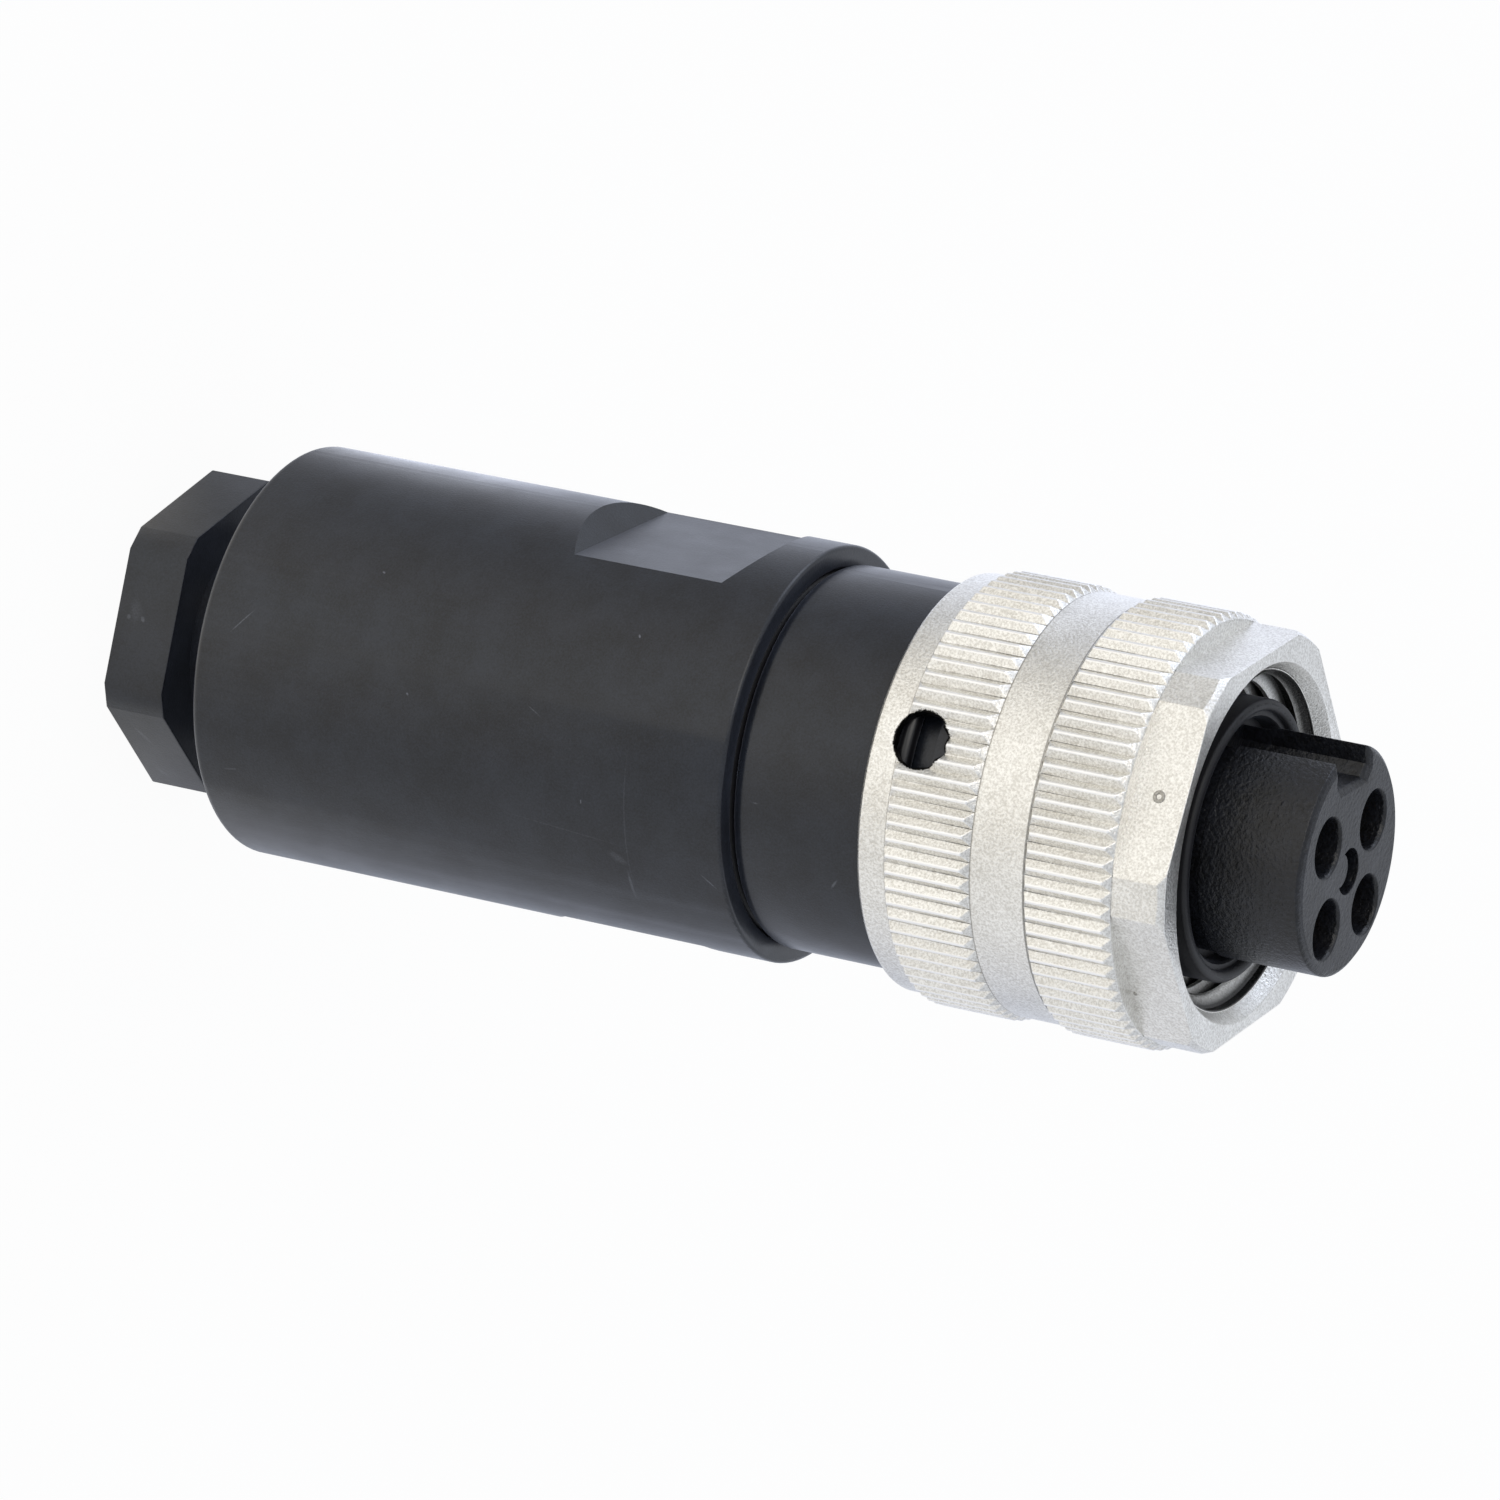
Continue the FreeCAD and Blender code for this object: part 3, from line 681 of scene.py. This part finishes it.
@dataclass
class CouplingNut:
    """Die-cast coupling nut with its knurled bands, hexagon, internal thread and gate marks."""

    edge: float = 0.06
    edge_over: float = 28.0
    edge_segments: int = 3
    hole: RadialHole = RadialHole()
    # Vertices this far out belong to the hole's outer rim, and noise of this size and height moves them.
    hole_rim_r: float = 13.0
    hole_slack: float = 0.05
    ragged_size: float = 0.45
    ragged_height: float = 0.14
    thread_major_r: float = 11.11
    thread_minor_r: float = 10.28
    thread_pitch: float = 1.5875
    thread_low: float = 68.66
    thread_high: float = 79.16
    # How deep the thread's base is sunk in the wall.
    thread_sunk: float = 0.04
    flat_distance: float = 12.7
    nut_turn: float = -8.5
    # Angle (degrees), height and diameter of each mark.
    gate_marks: tuple[tuple[float, float, float], ...] = ((-7.5, 78.46, 0.85), (58.6, 77.02, 0.3))
    gate_rim: float = 0.13
    gate_height_share: float = 0.6

    def build(self, nickel: bpy.types.Material, scar: bpy.types.Material) -> list[bpy.types.Object]:
        """Build the nut's pieces.

        Args:
            nickel: Finish of the casting.
            scar: Finish of the gate marks.

        Returns:
            The new pieces.
        """
        bm = merged_copy("coupling_nut", join_ends=False)
        self.roughen_hole(bm)
        soften(bm, self.edge, self.edge_over, self.edge_segments)
        nut = finished_object(bm, "coupling_nut_casting", nickel)
        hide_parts("coupling_nut")
        thread = ScrewThread(self.thread_major_r + self.thread_sunk, self.thread_minor_r, self.thread_pitch,
                             self.thread_low, self.thread_high)
        pieces = [nut, finished_object(thread.shape(), "coupling_thread", nickel)]
        for number, (angle, z, width) in enumerate(self.gate_marks, start=1):
            pieces.append(self.gate_mark(number, angle, z, width, scar))
        for piece in pieces:
            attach(piece, Body.COUPLING.value)
        return pieces

    def roughen_hole(self, bm: bmesh.types.BMesh) -> None:
        """Make the outer rim of the radial hole ragged, as the flash broke off.

        Args:
            bm: Shape of the nut.
        """
        way = outward(self.hole.turn)
        middle = Vector((0, 0, self.hole.height * MM))
        for vert in bm.verts:
            along = (vert.co - middle).dot(way)
            side = vert.co - middle - way * along
            at_rim = abs(side.length / MM - self.hole.radius) < self.hole_slack
            if at_rim and along > self.hole_rim_r * MM:
                ragged = noise.noise(side * per_metre(self.ragged_size)) * self.ragged_height
                vert.co += side.normalized() * ragged * MM

    def gate_mark(self, number: int, angle: float, z: float, width: float,
                  scar: bpy.types.Material) -> bpy.types.Object:
        """Make the low ring that a broken gate leaves on a flat.

        Args:
            number: Number of the mark.
            angle: Degrees around the nut.
            z: Height along the axis.
            width: Diameter of the ring.
            scar: Its finish.

        Returns:
            The ring.
        """
        flat = self.nut_turn + 60 * round((angle - self.nut_turn) / 60)
        bm = bmesh.new()
        rim = width / 2 - self.gate_rim
        rise = self.gate_rim * self.gate_height_share
        turns = [math.pi * k / 4 for k in (4, 3, 2, 1, 0)]
        arc = [(rim + self.gate_rim * math.cos(turn), rise * math.sin(turn)) for turn in turns]
        verts = [bm.verts.new((r * MM, 0, h * MM)) for r, h in arc]
        edges = [bm.edges.new(pair) for pair in zip(verts, verts[1:])]
        bmesh.ops.spin(bm, geom=verts + edges, cent=(0, 0, 0), axis=(0, 0, 1), angle=2 * math.pi,
                       steps=32, use_merge=True, use_duplicate=False)
        bmesh.ops.recalc_face_normals(bm, faces=bm.faces)
        side = self.flat_distance * math.tan(math.radians(angle - flat))
        turn = Matrix.Rotation(math.radians(flat), 4, "Z")
        bm.transform(turn @ Matrix.Translation(Vector((side, -self.flat_distance, z)) * MM)
                     @ Matrix.Rotation(math.pi / 2, 4, "X"))
        return finished_object(bm, "gate_mark_%d" % number, scar)


@dataclass
class Housing:
    """Grip shell and threaded sleeve, both moulded in black."""

    shell_edge: float = 0.12
    sleeve_edge: float = 0.08
    # Turns of the shell's two wrench flats.
    flat_turns: tuple[float, float] = (109.0, -71.0)

    def build(self, shell: bpy.types.Material, sleeve: bpy.types.Material) -> list[bpy.types.Object]:
        """Build the shell and the sleeve.

        Args:
            shell: Finish of the grip.
            sleeve: Finish of the sleeve.

        Returns:
            The new pieces.
        """
        pieces = []
        flats = tuple(outward(turn) for turn in self.flat_turns)
        for node, edge, finish in (("grip_shell", self.shell_edge, shell),
                                   ("contact_sleeve", self.sleeve_edge, sleeve)):
            bm = merged_copy(node)
            soften(bm, edge)
            piece = finished_object(bm, node + "_moulding", finish, crisp=flats, weighted=False)
            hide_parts(node)
            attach(piece, Body.CONNECTOR.value)
            pieces.append(piece)
        return pieces


@dataclass
class Insert:
    """Keyed contact insert with its seal."""

    edge: float = 0.07

    def build(self, insulator: bpy.types.Material, rubber: bpy.types.Material) -> list[bpy.types.Object]:
        """Build the insert and the front seal.

        Args:
            insulator: Finish of the insert.
            rubber: Finish of the seal.

        Returns:
            The new pieces.
        """
        bm = merged_copy("contact_insert")
        soften(bm, self.edge)
        insert = finished_object(bm, "contact_insert_moulding", insulator)
        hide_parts("contact_insert")
        seal = finished_object(merged_copy("front_seal"), "front_seal_rubber", rubber)
        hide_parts("front_seal")
        for piece in (insert, seal):
            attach(piece, Body.CONNECTOR.value)
        return [insert, seal]


@dataclass
class CableGland:
    """Hexagonal gland nut whose neck carries a coarse thread."""

    edge: float = 0.12
    neck_low: float = 4.76
    neck_high: float = 15.06
    neck_r: float = 8.0
    root_r: float = 7.2
    pitch: float = 1.5
    # How far below and outside the neck a vertex may lie and still be drawn in to the thread's root.
    neck_slack: float = 0.3
    wall_slack: float = 0.1
    # How deep the ridge is sunk in the root, how far it stays below the neck's radius and where it ends.
    thread_sunk: float = 0.05
    crest_gap: float = 0.02
    low_gap: float = 0.5
    high_gap: float = 0.7

    def build(self, plastic: bpy.types.Material) -> list[bpy.types.Object]:
        """Build the gland nut and its thread.

        Args:
            plastic: Finish of the gland.

        Returns:
            The new pieces.
        """
        bm = merged_copy("gland_nut")
        for vert in bm.verts:
            radius = vert.co.xy.length / MM
            on_wall = self.root_r < radius < self.neck_r + self.wall_slack
            if on_wall and vert.co.z / MM > self.neck_low - self.neck_slack:
                vert.co.xy *= self.root_r / radius
        soften(bm, self.edge)
        nut = finished_object(bm, "gland_nut_moulding", plastic)
        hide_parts("gland_nut")
        thread = ScrewThread(self.root_r - self.thread_sunk, self.neck_r - self.crest_gap, self.pitch,
                             self.neck_low + self.low_gap, self.neck_high - self.high_gap)
        pieces = [nut, finished_object(thread.shape(), "gland_thread", plastic)]
        for piece in pieces:
            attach(piece, Body.GLAND.value)
        return pieces


@dataclass(frozen=True)
class Lamp:
    """Square soft lamp: its place and side in metres, its power in watts and its colour."""

    name: str
    place: tuple[float, float, float]
    size: float
    power: float
    colour: str

    def build(self, aim: Vector) -> None:
        """Add the lamp.

        Args:
            aim: Point in metres that it faces.
        """
        light = bpy.data.lights.new(self.name, "AREA")
        light.size = self.size
        light.energy = self.power
        light.color = linear(self.colour)[:3]
        holder = bpy.data.objects.new(self.name, light)
        bpy.context.scene.collection.objects.link(holder)
        holder.location = self.place
        holder.rotation_euler = (aim - Vector(self.place)).to_track_quat("-Z", "Y").to_euler()


@dataclass
class Studio:
    """White floor, soft lamps and the camera at the photograph's angle."""

    # Millimetres and degrees.
    camera_place: tuple[float, float, float] = (0.0, -517.97, 295.08)
    camera_aim: tuple[float, float, float] = (0.603, 0.0, 43.621)
    camera_roll: float = 101.4926
    lens: float = 209.26
    sensor_width: float = 36.0
    clip_start: float = 0.01
    lamps: tuple[Lamp, ...] = (
        Lamp("key_lamp", (-0.45, -0.75, 0.45), 0.6, 2.2, "#fff8ee"),
        Lamp("side_lamp", (0.8, -0.35, 0.2), 0.6, 0.35, "#ffffff"),
        Lamp("left_lamp", (-0.9, 0.15, 0.25), 0.6, 2.2, "#e2ebff"),
        Lamp("back_lamp", (0.25, 0.7, 0.8), 0.7, 0.8, "#e6eeff"))
    lamp_aim: tuple[float, float, float] = (0.0, 0.0, 0.045)
    world_grey: str = "#dfe3ea"
    world_strength: float = 0.85
    # The floor's side in metres, its paint, and how white it is to the camera where no shadow lies.
    floor_size: float = 6.0
    floor_grey: str = "#eeeeee"
    floor_roughness: float = 0.9
    floor_white: float = 0.95
    # Painted glow of the floor, seen only in reflections on the connector: turn in degrees, level,
    # colour.
    glow: tuple[tuple[float, float, str], ...] = (
        (-180, 1.35, "#eaf0ff"), (-160, 1.32, "#eaf0ff"), (-140, 1.36, "#e9efff"), (-120, 1.02, "#f0f4ff"),
        (-100, 0.65, "#f6f8ff"), (-82, 0.54, "#ffffff"), (-60, 0.80, "#fffcf6"), (-40, 1.04, "#fffaf2"),
        (-20, 1.20, "#fffefa"), (0, 1.24, "#fffcf6"), (20, 0.98, "#fffbf4"), (40, 0.875, "#ffffff"),
        (60, 0.90, "#ffffff"), (80, 0.93, "#fbfcff"), (100, 0.86, "#f6f8ff"), (120, 0.83, "#f0f4ff"),
        (140, 0.77, "#eaf0ff"), (160, 1.05, "#eaf0ff"), (180, 1.35, "#eaf0ff"))
    # Close behind the left side the painted glow is brighter: by how much, between which distances (m) and
    # turns.
    near_glow: float = 1.1
    near_reach: tuple[float, float] = (0.062, 0.045)
    near_turn: tuple[float, float] = (-110, -140)

    def build(self) -> None:
        """Build the floor, the lamps, the world and the camera."""
        self.add_floor()
        self.add_world()
        for lamp in self.lamps:
            lamp.build(Vector(self.lamp_aim))
        self.add_camera()

    def reflected_glow(self, tree: bpy.types.NodeTree) -> bpy.types.NodeSocket:
        """Build the painted glow that polished pieces reflect from the floor.

        Args:
            tree: Node tree of the floor's material.

        Returns:
            Shader socket of the glow.
        """
        place = add_node(tree, "ShaderNodeTexCoord").outputs["Object"]
        axes = add_node(tree, "ShaderNodeSeparateXYZ", {0: place})
        front = add_node(tree, "ShaderNodeMath", {0: axes.outputs["Y"], 1: -1.0}, operation="MULTIPLY")
        angle = add_node(tree, "ShaderNodeMath", {0: axes.outputs["X"], 1: front.outputs[0]},
                         operation="ARCTAN2")
        share = add_node(tree, "ShaderNodeMapRange", {0: angle.outputs[0], 1: -math.pi, 2: math.pi})
        glow = add_node(tree, "ShaderNodeValToRGB", {0: share.outputs[0]})
        stops = glow.color_ramp.elements
        while len(stops) < len(self.glow):
            stops.new(0.5)
        for stop, (turn, level, colour) in zip(stops, self.glow):
            stop.position = (turn + 180) / 360
            stop.color = [c * level for c in linear(colour)[:3]] + [1.0]
        reach = add_node(tree, "ShaderNodeVectorMath", {0: place}, operation="LENGTH")
        near = add_node(tree, "ShaderNodeMapRange", {0: reach.outputs["Value"], 1: self.near_reach[0],
                                                     2: self.near_reach[1], 4: self.near_glow})
        side = add_node(tree, "ShaderNodeMapRange", {0: angle.outputs[0],
                                                     1: math.radians(self.near_turn[0]),
                                                     2: math.radians(self.near_turn[1])})
        strength = add_node(tree, "ShaderNodeMath", {0: near.outputs[0], 1: side.outputs[0], 2: 1.0},
                            operation="MULTIPLY_ADD")
        return add_node(tree, "ShaderNodeEmission", {"Color": glow.outputs[0],
                                                     "Strength": strength.outputs[0]}).outputs[0]

    def add_floor(self) -> None:
        """Add the floor, white to the camera with the connector's shadow left on it, and a painted glow in
        reflections.
        """
        bm = bmesh.new()
        bmesh.ops.create_grid(bm, x_segments=1, y_segments=1, size=self.floor_size / 2)
        material, tree, shader = new_material("studio_floor")
        shader.inputs["Base Color"].default_value = linear(self.floor_grey)
        shader.inputs["Roughness"].default_value = self.floor_roughness
        rays = add_node(tree, "ShaderNodeLightPath")
        white = add_node(tree, "ShaderNodeEmission", {"Color": linear("#ffffff"), "Strength": 1.0})
        # Glossy rays see the floor's painted glow instead of its lit paint.
        mixed = add_node(tree, "ShaderNodeMixShader", {0: rays.outputs["Is Glossy Ray"],
                                                       1: shader.outputs[0], 2: self.reflected_glow(tree)})
        seen = add_node(tree, "ShaderNodeMath", {0: rays.outputs["Is Camera Ray"], 1: self.floor_white},
                        operation="MULTIPLY")
        mixed = add_node(tree, "ShaderNodeMixShader", {0: seen.outputs[0], 1: mixed.outputs[0],
                                                       2: white.outputs[0]})
        tree.links.new(mixed.outputs[0], tree.nodes["Material Output"].inputs["Surface"])
        finished_object(bm, "studio_floor", material)

    def add_world(self) -> None:
        """Light the scene evenly, with white behind the connector."""
        world = bpy.data.worlds.new("studio_world")
        bpy.context.scene.world = world
        world.use_nodes = True
        tree = world.node_tree
        rays = add_node(tree, "ShaderNodeLightPath")
        soft = tree.nodes["Background"]
        soft.inputs["Color"].default_value = linear(self.world_grey)
        soft.inputs["Strength"].default_value = self.world_strength
        white = add_node(tree, "ShaderNodeBackground", {"Color": linear("#ffffff"), "Strength": 1.0})
        mixed = add_node(tree, "ShaderNodeMixShader", {0: rays.outputs["Is Camera Ray"], 1: soft.outputs[0],
                                                       2: white.outputs[0]})
        tree.links.new(mixed.outputs[0], tree.nodes["World Output"].inputs["Surface"])

    def add_camera(self) -> None:
        """Add the camera, rolled so that the connector lies on its side."""
        camera = bpy.data.cameras.new("photo_camera")
        camera.lens = self.lens
        camera.sensor_width = self.sensor_width
        camera.clip_start = self.clip_start
        holder = bpy.data.objects.new("photo_camera", camera)
        bpy.context.scene.collection.objects.link(holder)
        place = Vector(self.camera_place) * MM
        look = Vector(self.camera_aim) * MM - place
        roll = Matrix.Rotation(math.radians(self.camera_roll), 3, "Z")
        turn = (look.to_track_quat("-Z", "Y").to_matrix() @ roll).to_4x4()
        holder.matrix_world = Matrix.Translation(place) @ turn
        bpy.context.scene.camera = holder


def dress(nodes: tuple[str, ...], finish: bpy.types.Material) -> None:
    """Give CAD nodes a finish.

    Args:
        nodes: Names of the nodes.
        finish: Their material.
    """
    for name in nodes:
        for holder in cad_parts[name].material_slots:
            holder.material = finish
        LOG.info("%s dressed", name)


def main() -> None:
    """Build all pieces, the finishes and the studio."""
    logging.basicConfig(level=logging.INFO, format="%(message)s")
    insulator = ErodedInsulator().material()
    rubber = NitrileRubber().material()
    builders = (
        ("coupling nut", CouplingNut().build(CastNickel().material(), BrokenGate().material())),
        ("housing", Housing().build(MattPolyamide().material(), SatinPolyamide().material())),
        ("insert", Insert().build(insulator, rubber)),
        ("cable gland", CableGland().build(GlandPolyamide().material())))
    for title, pieces in builders:
        for piece in pieces:
            LOG.info("%s: %s, %d faces", title, piece.name, len(piece.data.polygons))
    dress(("retaining_ring",), BlackAcetal().material())
    dress(("sleeve_o_ring", "cable_seal"), rubber)
    dress(("clamp_cage", "thrust_washer"), GreyPolyamide().material())
    dress(("insert_lock_ring", "terminal_block"), insulator)
    dress(tuple("socket_contact_%d" % k for k in range(1, 5)), GoldFlashedBrass().material())
    dress(tuple("terminal_screw_%d" % k for k in range(1, 5)), ZincPlatedSteel().material())
    Studio().build()
    bpy.context.scene.view_settings.view_transform = "Standard"


if __name__ == "__main__":
    main()
